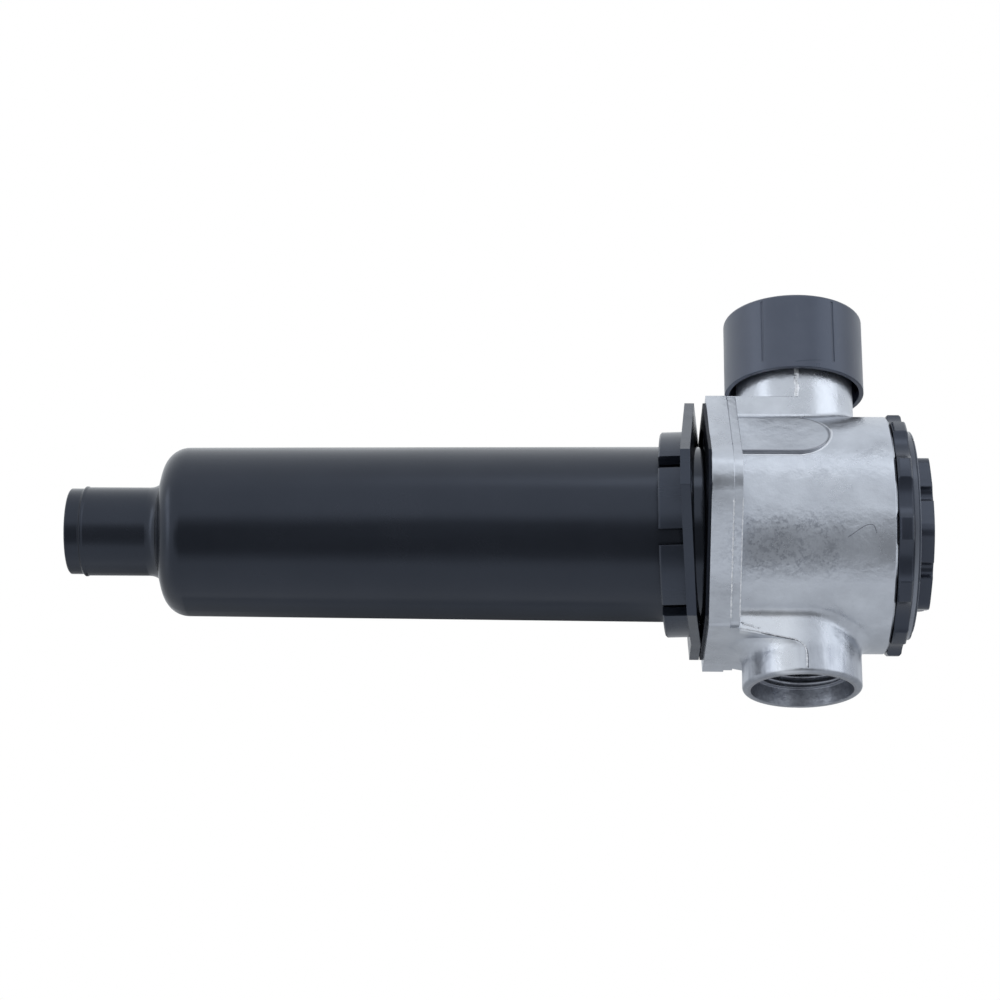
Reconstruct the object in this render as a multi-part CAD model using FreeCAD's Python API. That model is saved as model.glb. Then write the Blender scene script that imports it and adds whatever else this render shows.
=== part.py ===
import FreeCAD, Part
import math
import os
from FreeCAD import Vector

# Return line filter: cast head on a tank flange, hanging bowl with a hose nozzle, air breather
# Millimetres, +Z up along the filter axis, origin at the centre of the head's tank mounting face
# The threaded port faces +X, the breather faces -X, the two bolt lugs lie on Y

os.makedirs("parts", exist_ok=True)

# Fits and clearances
thread_clearance = 0.08
pin_clearance = 0.06
seal_clearance = 0.35
rest_clearance = 0.3

# Tank flange of the head
flange_flat = 43.6
flange_corner = 25.2
flange_corner_round = 2.5
bolt_offset = 51.5
lug_radius = 10.4
bolt_hole_radius = 4.5
flange_thick = 10.6
parting_height = 7.5
parting_step = 0.6

# Body of the head
body_radius = 42.5
body_top = 64.5
body_edge = 0.7
mouth_wall = 4.5
mouth_thread_radius = body_radius - mouth_wall
mouth_thread_bottom = 52.0
cavity_wall = 6.0
cavity_radius = body_radius - cavity_wall
seat_clearance = 0.3
seat_depth = 10.0
seat_height = 8.0
bowl_hole_clearance = 0.35

# Threaded port and breather neck
port_height = 33.7
port_boss_radius = 21.0
port_reach = 58.5
port_thread_radius = 15.15
port_thread_length = 14.0
port_mouth_radius = 18.1
port_lead_radius = 16.9
port_lead_depth = 6.0
port_passage_radius = 14.2
port_edge = 1.4
boss_flare = 6.0
web_low_reach = flange_flat
web_high_reach = 48.0
neck_radius = 21.2
neck_web_reach = 45.0
boss_blend = 4.0
neck_blend = 2.5
breather_bore_radius = 15.15
breather_bore_wall = 3.5
air_hole_radius = 1.8
air_hole_start = 35.2
air_hole_end = 44.0
air_hole_rise = 28.6
air_hole_spread = 12.0

# Flat pad on the side of the head
pad_angle = 233.7
pad_distance = body_radius - 0.5
pad_half_width = 11.4
pad_round = 11.0
pad_top = 42.6

# Screw cover
cover_gap = 0.4
rim_overhang = 0.7
rim_radius = body_radius + rim_overhang
rim_thick = 5.05
rim_edge = 0.6
lobe_count = 12
lobe_phase = 18.1
scallop_radius = 15.0
scallop_depth = 2.6
tier_inset = 5.9
tier_radius = rim_radius - tier_inset
tier_thick = 2.95
knob_radius = 31.0
knob_round = 5.0
knob_edge_height = 5.6
knob_dome_height = 7.4
knob_notch_radius = 3.0
knob_notch_count = 6
skirt_length = 12.0
skirt_wall = 4.0
cover_roof = 4.0
cover_hollow_radius = 22.0
cover_hollow_depth = 6.0
cover_boss_radius = 9.5
cover_seal_wire = 1.2
cover_seal_depth = 3.2
cover_seal_space = 2.9
cover_groove_depth = 0.6
seal_seat_gap = 0.05

# Turning spring seat under the cover
seat_pin_radius = 6.0
seat_pin_length = 7.5
seat_disc_radius = 16.5
seat_disc_thick = 2.5
seat_disc_top = 58.5

# Bowl with its hose nozzle
bowl_tip = -228.4
bowl_end = -195.5
nozzle_radius = 16.0
nozzle_tip_radius = 15.5
nozzle_bead_radius = 16.3
nozzle_tip_length = 5.0
nozzle_bore = 13.1
nozzle_flare = 1.6
nozzle_flare_length = 3.9
end_slope = 15.7
shoulder_radius = 9.0
bowl_low_radius = 30.45
bowl_high_radius = 31.55
bowl_wall = 2.8
bowl_floor = 2.9
bowl_rim_width = 2.45
bowl_rim_radius = bowl_high_radius + bowl_rim_width
bowl_rim_thick = 3.5
socket_wall = 3.1
socket_height = 8.6
bowl_seal_wire = 1.0
bowl_seal_space = 2.4
bowl_seal_height = 3.4
bowl_groove_depth = 1.75
seat_radius = bowl_rim_radius + seat_clearance

# Gasket, loose plate and castellated ring round the bowl
plate_flat = 40.2
plate_shift = -0.8
plate_corner = 23.8
plate_tip = 60.8
plate_tip_half = 6.5
gasket_thick = 1.0
gasket_bore_gap = 6.25
gasket_hole_radius = 5.0
plate_thick = 3.4
plate_near_height = -5.33
plate_tilt = 5.1
plate_hole_radius = 5.4
ring_wall = 4.3
ring_bore_clearance = 1.05
ring_radius = bowl_high_radius + ring_bore_clearance + ring_wall
ring_low = -14.4
ring_pivot = -8.4
ring_edge = 0.6
slot_count = 8
slot_width = 5.7

# Filter element
element_radius = 25.2
element_top = 14.0
top_cap_thick = 2.5
bottom_cap_thick = 2.5
cap_skirt = 7.0
cap_skirt_wall = 0.8
bypass_hole_radius = 7.5
spring_guide_radius = 15.2
spring_guide_wall = 1.2
spring_guide_height = 3.0
pleat_count = 36
media_outer = 24.2
media_inner = 13.1
media_thick = 0.7
core_radius = 12.4
core_wall = 0.8
core_slot_columns = 6
core_slot_rows = 6
core_slot_width = 5.0
core_slot_share = 0.6
spigot_radius = 12.4
spigot_bore = 9.2
spigot_length = 16.0
element_seal_wire = 1.0
element_seal_space = 2.4
element_seal_drop = 8.4
element_groove_depth = 1.65

# Bypass valve in the top cap of the element
cage_radius = 11.2
cage_wall = 1.0
cage_length = 26.0
cage_floor = 2.0
cage_window_width = 6.0
cage_window_height = 14.0
poppet_radius = 9.2
poppet_thick = 2.2
poppet_stem_radius = 2.0
poppet_stem_length = 26.8
bypass_spring_radius = 6.0
bypass_spring_wire = 0.6
bypass_spring_turns = 5

# Spring between the element and the cover
hold_spring_radius = 13.0
hold_spring_wire = 1.2
hold_spring_turns = 4
spring_end_gap = 0.05

# Air breather on the neck
gasket_ring_thick = 1.5
gasket_ring_inner = 15.8
gasket_ring_outer = 20.5
stem_flange_thick = 2.5
stem_thread_length = 16.17
stem_wall = 3.0
stem_tube_radius = 11.0
stem_tube_bore = 9.0
stem_hole_radius = 2.6
stem_hole_count = 6
filter_outer = 19.5
filter_length = 16.0
retainer_radius = 20.0
retainer_thick = 1.5
cap_radius = 25.35
cap_neck_lap = 3.5
cap_wall = 1.6
cap_head_room = 2.4
cap_top_round = 1.2
cap_groove_count = 6
cap_groove_offset = 30.0
cap_groove_width = 0.8
cap_groove_depth = 0.3
cap_groove_top_gap = 1.6
cap_groove_low_gap = 3.6


def cylinder(radius, low, high):
    return Part.makeCylinder(radius, high - low, Vector(0, 0, low))


def ring(outer, inner, low, high):
    return cylinder(outer, low, high).cut(cylinder(inner, low, high))


def cylinder_x(radius, start, end, height):
    return Part.makeCylinder(radius, end - start, Vector(start, 0, height), Vector(1, 0, 0))


def at(radius, height):
    return Vector(radius, 0, height)


def turned(points):
    """Turn a closed profile of (radius, height) pairs about the Z axis."""
    wire = Part.makePolygon([at(r, z) for r, z in points] + [at(*points[0])])
    return Part.Face(wire).revolve(Vector(0, 0, 0), Vector(0, 0, 1), 360)


def turned_edges(edges):
    return Part.Face(Part.Wire(edges)).revolve(Vector(0, 0, 0), Vector(0, 0, 1), 360)


def line(a, b):
    return Part.LineSegment(at(*a), at(*b)).toShape()


def arc(a, middle, b):
    return Part.Arc(at(*a), at(*middle), at(*b)).toShape()


def quarter(place, height, radius, first, last):
    """An arc about (place, height) between two angles, with its end points."""
    points = []
    for angle in (first, (first + last) / 2, last):
        turn = math.radians(angle)
        points.append((place + radius * math.cos(turn), height + radius * math.sin(turn)))
    return points


def prism(points, low, high):
    corners = [Vector(x, y, low) for x, y in points]
    face = Part.Face(Part.makePolygon(corners + [corners[0]]))
    return face.extrude(Vector(0, 0, high - low))


def around(shape, angle):
    copy = shape.copy()
    copy.rotate(Vector(0, 0, 0), Vector(0, 0, 1), angle)
    return copy


def fused(shapes):
    result = shapes[0]
    for shape in shapes[1:]:
        result = result.fuse(shape)
    return result.removeSplitter()


def o_ring(radius, wire, height):
    return Part.makeTorus(radius, wire, Vector(0, 0, height))


def coil(radius, wire, low, high, turns):
    """A round wire wound between two flat seats."""
    start = low + wire + spring_end_gap
    rise = high - low - 2 * (wire + spring_end_gap)
    pitch = rise / turns
    path = Part.makeHelix(pitch, rise, radius)
    path.translate(Vector(0, 0, start))
    climb = pitch / (2 * math.pi * radius)
    section = Part.Wire([Part.Circle(Vector(radius, 0, start), Vector(0, 1, climb), wire).toShape()])
    return Part.Wire(path.Edges).makePipeShell([section], True, True)


def lug_prism(flat, corner, offset, radius, low, high):
    """The two-lug flange: flat sides, and straight flanks that run tangent to round lugs."""
    reach = math.hypot(flat, offset - corner)
    angle = math.atan2(corner - offset, flat) + math.acos(radius / reach)
    tx = radius * math.cos(angle)
    ty = offset + radius * math.sin(angle)
    tip = offset + radius
    right_low = Vector(flat, -corner, low)
    right_high = Vector(flat, corner, low)
    left_high = Vector(-flat, corner, low)
    left_low = Vector(-flat, -corner, low)
    edges = [
        Part.LineSegment(right_low, right_high).toShape(),
        Part.LineSegment(right_high, Vector(tx, ty, low)).toShape(),
        Part.Arc(Vector(tx, ty, low), Vector(0, tip, low), Vector(-tx, ty, low)).toShape(),
        Part.LineSegment(Vector(-tx, ty, low), left_high).toShape(),
        Part.LineSegment(left_high, left_low).toShape(),
        Part.LineSegment(left_low, Vector(-tx, -ty, low)).toShape(),
        Part.Arc(Vector(-tx, -ty, low), Vector(0, -tip, low), Vector(tx, -ty, low)).toShape(),
        Part.LineSegment(Vector(tx, -ty, low), right_low).toShape(),
    ]
    solid = Part.Face(Part.Wire(edges)).extrude(Vector(0, 0, high - low))
    corners = []
    for edge in solid.Edges:
        first, last = edge.Vertexes[0].Point, edge.Vertexes[-1].Point
        upright = abs(first.x - last.x) < 0.001 and abs(first.y - last.y) < 0.001
        if upright and abs(abs(first.x) - flat) < 0.001:
            corners.append(edge)
    return solid.makeFillet(flange_corner_round, corners)


def bolt_holes(radius, low, high):
    holes = [cylinder(radius, low, high), cylinder(radius, low, high)]
    holes[0].translate(Vector(0, bolt_offset, 0))
    holes[1].translate(Vector(0, -bolt_offset, 0))
    return holes[0].fuse(holes[1])


def plate_points():
    """Corners of the crisp plate outline, smaller than the flange."""
    quarter = [(plate_flat, plate_corner), (plate_tip_half, plate_tip)]
    points = list(quarter)
    points += [(-x, y) for x, y in reversed(quarter)]
    points += [(-x, -y) for x, y in quarter]
    points += [(x, -y) for x, y in reversed(quarter)]
    return [(x + plate_shift, y) for x, y in points]


bowl_hole_radius = bowl_high_radius + bowl_hole_clearance


def seam(shape, side, radius):
    """Edges where the body meets the upper half of a sideways cylinder and the walls below it."""
    found = []
    for edge in shape.Edges:
        first, last = edge.FirstParameter, edge.LastParameter
        points = [edge.valueAt(first + (last - first) * share) for share in (0.1, 0.5, 0.9)]
        on_body = all(abs(math.hypot(p.x, p.y) - body_radius) < 0.01 for p in points)
        on_side = all(side * p.x > 0 for p in points)
        on_round = all(abs(math.hypot(p.y, p.z - port_height) - radius) < 0.01 for p in points)
        on_upper = all(p.z > port_height - 0.1 for p in points)
        on_wall = all(abs(abs(p.y) - radius) < 0.01 for p in points)
        if on_body and on_side and (on_wall or (on_round and on_upper)):
            found.append(edge)
    return found


def pad_prism(start, end, low):
    """The outline of the flat pad, rounded at its upper corners, drawn out along +X."""
    side = pad_half_width
    turn = pad_round * (1 - math.sqrt(0.5))
    place = pad_top - pad_round

    def point(y, z):
        return Vector(start, y, z)

    edges = [
        Part.LineSegment(point(-side, low), point(side, low)).toShape(),
        Part.LineSegment(point(side, low), point(side, place)).toShape(),
        Part.Arc(point(side, place), point(side - turn, pad_top - turn),
                 point(side - pad_round, pad_top)).toShape(),
        Part.LineSegment(point(side - pad_round, pad_top), point(pad_round - side, pad_top)).toShape(),
        Part.Arc(point(pad_round - side, pad_top), point(turn - side, pad_top - turn),
                 point(-side, place)).toShape(),
        Part.LineSegment(point(-side, place), point(-side, low)).toShape(),
    ]
    return Part.Face(Part.Wire(edges)).extrude(Vector(end - start, 0, 0))


# Head
def make_head():
    low = lug_prism(flange_flat, flange_corner, bolt_offset, lug_radius, 0, parting_height)
    high = lug_prism(
        flange_flat - parting_step,
        flange_corner,
        bolt_offset,
        lug_radius - parting_step,
        parting_height,
        flange_thick,
    )
    body = turned([
        (0, 0),
        (body_radius, 0),
        (body_radius, body_top - body_edge),
        (body_radius - body_edge, body_top),
        (0, body_top),
    ])
    boss = cylinder_x(port_boss_radius, 0, port_reach, port_height)
    end_edges = [edge for edge in boss.Edges if edge.BoundBox.XMin > port_reach - 0.01]
    boss = boss.makeFillet(port_edge, end_edges)
    web_side = [
        Vector(0, -port_boss_radius, 0),
        Vector(web_low_reach, -port_boss_radius, 0),
        Vector(web_low_reach, -port_boss_radius, flange_thick),
        Vector(web_high_reach, -port_boss_radius, port_height),
        Vector(0, -port_boss_radius, port_height),
    ]
    web = Part.Face(Part.makePolygon(web_side + [web_side[0]]))
    web = web.extrude(Vector(0, 2 * port_boss_radius, 0))
    foot = Part.makeBox(web_low_reach, 2 * flange_corner - 2 * flange_corner_round, flange_thick,
                        Vector(0, flange_corner_round - flange_corner, 0))
    neck = cylinder_x(neck_radius, -port_reach, 0, port_height)
    neck_web = Part.makeBox(
        neck_web_reach,
        2 * neck_radius,
        port_height - parting_height,
        Vector(-neck_web_reach, -neck_radius, parting_height),
    )
    trunk = fused([body, boss, web, neck, neck_web])
    trunk = trunk.makeFillet(boss_blend, seam(trunk, 1, port_boss_radius))
    trunk = trunk.makeFillet(neck_blend, seam(trunk, -1, neck_radius))
    # the boss flares into the flange's side below it
    root = web_low_reach
    flare_edges = [
        Part.LineSegment(at(0, root - 10), at(port_boss_radius + boss_flare, root - 10)).toShape(),
        Part.LineSegment(at(port_boss_radius + boss_flare, root - 10),
                         at(port_boss_radius + boss_flare, root)).toShape(),
        arc(*quarter(port_boss_radius + boss_flare, root + boss_flare, boss_flare, -90, -180)),
        Part.LineSegment(at(port_boss_radius, root + boss_flare), at(0, root + boss_flare)).toShape(),
        Part.LineSegment(at(0, root + boss_flare), at(0, root - 10)).toShape(),
    ]
    flare = turned_edges(flare_edges)
    flare.rotate(Vector(0, 0, 0), Vector(0, 1, 0), 90)
    flare.translate(Vector(0, 0, port_height))
    flare = flare.common(Part.makeBox(2 * port_reach, 2 * port_boss_radius, port_height,
                                      Vector(0, -port_boss_radius, 0)))
    head = fused([low, high, foot, trunk, flare])
    pad = pad_prism(body_radius - 12, pad_distance, parting_height)
    crown = pad_prism(pad_distance, pad_distance + 10, flange_thick)
    head = head.fuse(around(pad, pad_angle)).cut(around(crown, pad_angle))
    cavity = turned([
        (0, -1),
        (bowl_hole_radius, -1),
        (bowl_hole_radius, seat_height),
        (seat_radius, seat_height),
        (seat_radius, seat_height + seat_depth),
        (cavity_radius, seat_height + seat_depth + 2),
        (cavity_radius, mouth_thread_bottom),
        (mouth_thread_radius, mouth_thread_bottom),
        (mouth_thread_radius, body_top - cover_seal_space),
        (mouth_seal_radius, body_top - cover_seal_space),
        (mouth_seal_radius, body_top + 1),
        (0, body_top + 1),
    ])
    head = head.cut(cavity)
    lead_end = port_reach - port_lead_depth
    head = head.cut(Part.makeCone(port_lead_radius, port_mouth_radius, port_lead_depth,
                                  Vector(lead_end, 0, port_height), Vector(1, 0, 0)))
    head = head.cut(cylinder_x(port_thread_radius, lead_end - port_thread_length, lead_end, port_height))
    head = head.cut(cylinder_x(port_passage_radius, 20, lead_end, port_height))
    bore_end = cavity_radius + breather_bore_wall
    head = head.cut(cylinder_x(breather_bore_radius, -port_reach - 1, -bore_end, port_height))
    rise = Vector(air_hole_start - air_hole_end, 0, air_hole_rise)
    air_hole = Part.makeCylinder(air_hole_radius, rise.Length, Vector(-air_hole_start, 0, 0), rise)
    mouth = Part.makeCylinder(air_hole_radius, 2, Vector(-air_hole_start, 0, -1), Vector(0, 0, 1))
    for angle in (-air_hole_spread, 0, air_hole_spread):
        head = head.cut(around(air_hole, angle))
        head = head.cut(around(mouth, angle))
    return head.cut(bolt_holes(bolt_hole_radius, -1, flange_thick + 1)).removeSplitter()


# Screw cover
rim_low = body_top + cover_gap
rim_high = rim_low + rim_thick
tier_high = rim_high + tier_thick
groove_radius = mouth_thread_radius - thread_clearance - cover_groove_depth
skirt_radius = mouth_thread_radius - thread_clearance
skirt_bottom = rim_low - skirt_length
seal_radius = groove_radius + 3 * seal_seat_gap + cover_seal_wire
mouth_seal_radius = seal_radius + cover_seal_wire + seal_clearance
seal_height = rim_low - cover_seal_depth / 2 - 0.1
cover_ceiling = tier_high - cover_roof
seat_pin_top = seat_disc_top + seat_pin_length


def make_cover():
    hollow_top = cover_ceiling + cover_hollow_depth
    shell = turned([
        (0, seat_disc_top),
        (cover_boss_radius, seat_disc_top),
        (cover_boss_radius, hollow_top),
        (cover_hollow_radius, hollow_top),
        (cover_hollow_radius, cover_ceiling),
        (skirt_radius - skirt_wall, cover_ceiling),
        (skirt_radius - skirt_wall, skirt_bottom),
        (skirt_radius, skirt_bottom),
        (skirt_radius, rim_low - cover_seal_depth),
        (groove_radius, rim_low - cover_seal_depth),
        (groove_radius, rim_low),
        (rim_radius - rim_edge, rim_low),
        (rim_radius, rim_low + rim_edge),
        (rim_radius, rim_high - rim_edge),
        (rim_radius - rim_edge, rim_high),
        (tier_radius, rim_high),
        (tier_radius, tier_high - 0.5),
        (tier_radius - 0.5, tier_high),
        (0, tier_high),
    ])
    # lobes: scallops between them, from the rim inward
    for index in range(lobe_count):
        turn = 360.0 * (index + 0.5) / lobe_count + lobe_phase
        notch = cylinder(scallop_radius, rim_low - 1, rim_high + 1)
        notch.translate(Vector(rim_radius - scallop_depth + scallop_radius, 0, 0))
        shell = shell.cut(around(notch, turn))
    # knob: a domed hexagon with a notch in the middle of each side
    corners = []
    for index in range(6):
        angle = math.radians(lobe_phase + 30.0 + 60.0 * index)
        corners.append((knob_radius * math.cos(angle), knob_radius * math.sin(angle)))
    knob_low = hollow_top - 0.5
    knob_low = min(knob_low, tier_high - 0.5)
    knob = prism(corners, knob_low, tier_high + knob_dome_height)
    uprights = []
    for edge in knob.Edges:
        first, last = edge.Vertexes[0].Point, edge.Vertexes[-1].Point
        if abs(first.x - last.x) < 0.001 and abs(first.y - last.y) < 0.001:
            uprights.append(edge)
    knob = knob.makeFillet(knob_round, uprights)
    drop = knob_dome_height - knob_edge_height
    dome_radius = (knob_radius ** 2 + drop ** 2) / (2 * drop)
    dome = Part.makeSphere(dome_radius, Vector(0, 0, tier_high + knob_dome_height - dome_radius))
    knob = knob.common(dome)
    knob = knob.cut(cylinder(cover_hollow_radius, knob_low - 1, hollow_top))
    flat_distance = knob_radius * math.cos(math.radians(30))
    for index in range(knob_notch_count):
        notch = cylinder(knob_notch_radius, tier_high, tier_high + knob_dome_height + 1)
        notch.translate(Vector(flat_distance + 0.3, 0, 0))
        knob = knob.cut(around(notch, lobe_phase + 60.0 * index))
    top = shell.fuse(knob)
    core = ring(cover_boss_radius, seat_pin_radius + pin_clearance, seat_disc_top, hollow_top)
    cover = top.cut(cylinder(seat_pin_radius + pin_clearance, seat_disc_top - 1, seat_pin_top + 0.5))
    return cover.fuse(core.common(cylinder(cover_boss_radius, seat_disc_top, hollow_top))).removeSplitter()


def make_spring_seat():
    edge = 0.5
    return turned([
        (0, seat_disc_top - seat_disc_thick),
        (seat_disc_radius, seat_disc_top - seat_disc_thick),
        (seat_disc_radius, seat_disc_top),
        (seat_pin_radius, seat_disc_top),
        (seat_pin_radius, seat_pin_top - edge),
        (seat_pin_radius - edge, seat_pin_top),
        (0, seat_pin_top),
    ])


# Bowl
spigot_bottom_gap = 0.6
socket_top = bowl_end + bowl_floor + socket_height
bead_height = bowl_tip + nozzle_tip_length + 1.0
slope = math.radians(end_slope)
shoulder_place = bowl_low_radius - shoulder_radius
shoulder_rise = (shoulder_place - nozzle_radius - nozzle_flare) * math.tan(slope)
shoulder_centre = bowl_end + shoulder_rise + shoulder_radius / math.cos(slope)
bowl_seal_floor = bowl_high_radius - bowl_groove_depth
bowl_seal_low = bowl_seal_height - bowl_seal_space / 2
bowl_seal_high = bowl_seal_height + bowl_seal_space / 2
rim_top = seat_height + bowl_rim_thick


def make_bowl():
    inner_low = bowl_low_radius - bowl_wall
    inner_high = bowl_high_radius - bowl_wall
    inner_round = inner_low - shoulder_place
    flare = [
        (nozzle_radius, bowl_end - nozzle_flare_length),
        (nozzle_radius + 0.25 * nozzle_flare, bowl_end - 0.5 * nozzle_flare_length),
        (nozzle_radius + nozzle_flare, bowl_end),
    ]
    shoulder = quarter(shoulder_place, shoulder_centre, shoulder_radius, end_slope - 90, 0)
    inside = quarter(shoulder_place, shoulder_centre, inner_round, 0, end_slope - 90)
    socket_radius = nozzle_bore + socket_wall
    floor = inside[2][1] - (inside[2][0] - socket_radius) * math.tan(slope)
    chain = [
        (nozzle_bore, bowl_tip),
        (nozzle_tip_radius - 0.4, bowl_tip),
        (nozzle_tip_radius, bowl_tip + 0.4),
        (nozzle_tip_radius, bead_height - 1.0),
        (nozzle_bead_radius, bead_height - 0.3),
        (nozzle_bead_radius, bead_height + 0.2),
        (nozzle_radius, bead_height + 0.8),
        flare[0],
    ]
    edges = [line(a, b) for a, b in zip(chain, chain[1:])]
    edges.append(arc(*flare))
    edges.append(line(flare[2], shoulder[0]))
    edges.append(arc(*shoulder))
    chain = [
        shoulder[2],
        (bowl_high_radius, 0),
        (bowl_high_radius, bowl_seal_low),
        (bowl_seal_floor, bowl_seal_low),
        (bowl_seal_floor, bowl_seal_high),
        (bowl_high_radius, bowl_seal_high),
        (bowl_high_radius, seat_height),
        (bowl_rim_radius, seat_height),
        (bowl_rim_radius, rim_top - 0.5),
        (bowl_rim_radius - 0.5, rim_top),
        (inner_high, rim_top),
        (inner_high, 0),
        inside[0],
    ]
    edges += [line(a, b) for a, b in zip(chain, chain[1:])]
    edges.append(arc(*inside))
    chain = [
        inside[2],
        (socket_radius, floor),
        (socket_radius, socket_top),
        (nozzle_bore + 0.9, socket_top),
        (nozzle_bore, socket_top - 0.9),
        (nozzle_bore, bowl_tip),
    ]
    edges += [line(a, b) for a, b in zip(chain, chain[1:])]
    return turned_edges(edges)


# Gasket against the mounting face
def make_gasket():
    plate = prism(plate_points(), -gasket_thick, 0)
    plate = plate.cut(cylinder(bowl_high_radius + gasket_bore_gap, -gasket_thick - 1, 1))
    return plate.cut(bolt_holes(gasket_hole_radius, -gasket_thick - 1, 1))


# Loose plate with its castellated ring: the near half stands away from the gasket
def make_collar():
    slope = math.tan(math.radians(plate_tilt))
    far_low = -gasket_thick - rest_clearance - plate_thick
    bend = (far_low - plate_near_height) / slope
    end = 1.3 * plate_tip
    far = 0.3 * plate_tip
    deep = -1.0 * plate_tip

    def strip(low, high, bottom=None):
        near_end = plate_near_height - slope * end
        top = [(-end, near_end + high), (bend, far_low + high), (end, far_low + high)]
        under = [(-end, near_end + low), (bend, far_low + low), (end, far_low + low)]
        if bottom is not None:
            under = [(-end, bottom), (end, bottom)]
        loop = [Vector(-end, y, z) for y, z in under + list(reversed(top))]
        face = Part.Face(Part.makePolygon(loop + [loop[0]]))
        return face.extrude(Vector(2 * end, 0, 0))

    plate = strip(0, plate_thick).common(prism(plate_points(), deep, far))
    tilt_point = Vector(0, 0, ring_pivot)

    def tilted(shape):
        copy = shape.copy()
        copy.rotate(tilt_point, Vector(1, 0, 0), plate_tilt)
        return copy

    sleeve = turned([
        (0, ring_low),
        (ring_radius - ring_edge, ring_low),
        (ring_radius, ring_low + ring_edge),
        (ring_radius, far),
        (0, far),
    ])
    slot_high = plate_near_height
    for index in range(slot_count):
        slot = Part.makeBox(ring_radius, slot_width, slot_high - ring_low + 5,
                            Vector(ring_radius - ring_wall - 2, -slot_width / 2, ring_low - 5))
        sleeve = sleeve.cut(around(slot, 90.0 + 360.0 * (index + 0.5) / slot_count))
    sleeve = tilted(sleeve).common(strip(0, 0.5 * plate_thick, deep))
    bore = tilted(cylinder(bowl_high_radius + ring_bore_clearance, deep, end))
    collar = plate.fuse(sleeve).cut(bore)
    return collar.cut(bolt_holes(plate_hole_radius, deep, far)).removeSplitter()


# Filter element
element_bottom = socket_top
media_low = element_bottom + bottom_cap_thick
cap_top = element_top + top_cap_thick


def make_top_cap():
    skirt_inner = element_radius - cap_skirt_wall
    return turned([
        (bypass_hole_radius, element_top),
        (skirt_inner, element_top),
        (skirt_inner, element_top - cap_skirt),
        (element_radius, element_top - cap_skirt),
        (element_radius, cap_top - 0.6),
        (element_radius - 0.6, cap_top),
        (spring_guide_radius + spring_guide_wall, cap_top),
        (spring_guide_radius + spring_guide_wall, cap_top + spring_guide_height),
        (spring_guide_radius, cap_top + spring_guide_height),
        (spring_guide_radius, cap_top),
        (bypass_hole_radius, cap_top),
    ])


def make_bottom_cap():
    skirt_inner = element_radius - cap_skirt_wall
    groove = spigot_radius - element_groove_depth
    middle = element_bottom - element_seal_drop
    low = middle - element_seal_space / 2
    high = middle + element_seal_space / 2
    return turned([
        (spigot_bore, element_bottom - spigot_length),
        (spigot_radius - 0.8, element_bottom - spigot_length),
        (spigot_radius, element_bottom - spigot_length + 0.8),
        (spigot_radius, low),
        (groove, low),
        (groove, high),
        (spigot_radius, high),
        (spigot_radius, element_bottom),
        (element_radius, element_bottom),
        (element_radius, media_low + cap_skirt),
        (skirt_inner, media_low + cap_skirt),
        (skirt_inner, media_low),
        (spigot_bore, media_low),
    ])


def make_media():
    """A pleated band: each pleat has a flat tip and a flat valley."""
    pitch = 360.0 / pleat_count
    outer_half = math.degrees(media_thick / media_outer)
    outer_tip = 0.9 + outer_half
    inner_valley = 0.8 + math.degrees(media_thick / (media_inner + media_thick))
    outside = []
    inside = []
    for index in range(pleat_count):
        middle = pitch * index
        outside += [
            (media_outer, middle - outer_tip),
            (media_outer, middle + outer_tip),
            (media_inner + media_thick, middle + pitch / 2 - 0.8),
            (media_inner + media_thick, middle + pitch / 2 + 0.8),
        ]
        inside += [
            (media_outer - media_thick, middle - 0.9),
            (media_outer - media_thick, middle + 0.9),
            (media_inner, middle + pitch / 2 - inner_valley),
            (media_inner, middle + pitch / 2 + inner_valley),
        ]

    def solid(loop):
        points = []
        for radius, angle in loop:
            turn = math.radians(angle)
            points.append((radius * math.cos(turn), radius * math.sin(turn)))
        return prism(points, media_low, element_top)

    return solid(outside).cut(solid(inside))


def make_core():
    tube = ring(core_radius, core_radius - core_wall, media_low, element_top)
    step = (element_top - media_low) / core_slot_rows
    high = step * core_slot_share
    for row in range(core_slot_rows):
        middle = media_low + step * (row + 0.5)
        for column in range(core_slot_columns // 2):
            slot = Part.makeBox(4 * core_radius, core_slot_width, high,
                                Vector(-2 * core_radius, -core_slot_width / 2, middle - high / 2))
            shift = 30.0 * (row % 2)
            tube = tube.cut(around(slot, shift + 360.0 * column / core_slot_columns))
    return tube


# Bypass valve
cage_bottom = element_top - cage_length
poppet_low = element_top - poppet_thick


def make_cage():
    inner = cage_radius - cage_wall
    cage = turned([
        (poppet_stem_radius + pin_clearance, cage_bottom),
        (cage_radius, cage_bottom),
        (cage_radius, element_top),
        (inner, element_top),
        (inner, cage_bottom + cage_floor),
        (poppet_stem_radius + pin_clearance, cage_bottom + cage_floor),
    ])
    window_low = cage_bottom + cage_floor + 3.0
    for turn in (0, 90):
        window = Part.makeBox(4 * cage_radius, cage_window_width, cage_window_height,
                              Vector(-2 * cage_radius, -cage_window_width / 2, window_low))
        cage = cage.cut(around(window, turn))
    return cage


def make_poppet():
    return turned([
        (0, element_top - poppet_stem_length),
        (poppet_stem_radius - 0.4, element_top - poppet_stem_length),
        (poppet_stem_radius, element_top - poppet_stem_length + 0.4),
        (poppet_stem_radius, poppet_low),
        (poppet_radius, poppet_low),
        (poppet_radius, element_top),
        (0, element_top),
    ])


# Breather: built upright, then laid along -X at the height of the port
def laid(shape):
    copy = shape.copy()
    copy.rotate(Vector(0, 0, 0), Vector(0, 1, 0), -90)
    copy.translate(Vector(0, 0, port_height))
    return copy


stem_flange_low = port_reach + gasket_ring_thick
stem_flange_high = stem_flange_low + stem_flange_thick
filter_high = stem_flange_high + filter_length
cap_low = port_reach - cap_neck_lap
cap_inner_top = filter_high + retainer_thick + cap_head_room
cap_high = cap_inner_top + cap_wall


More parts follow.
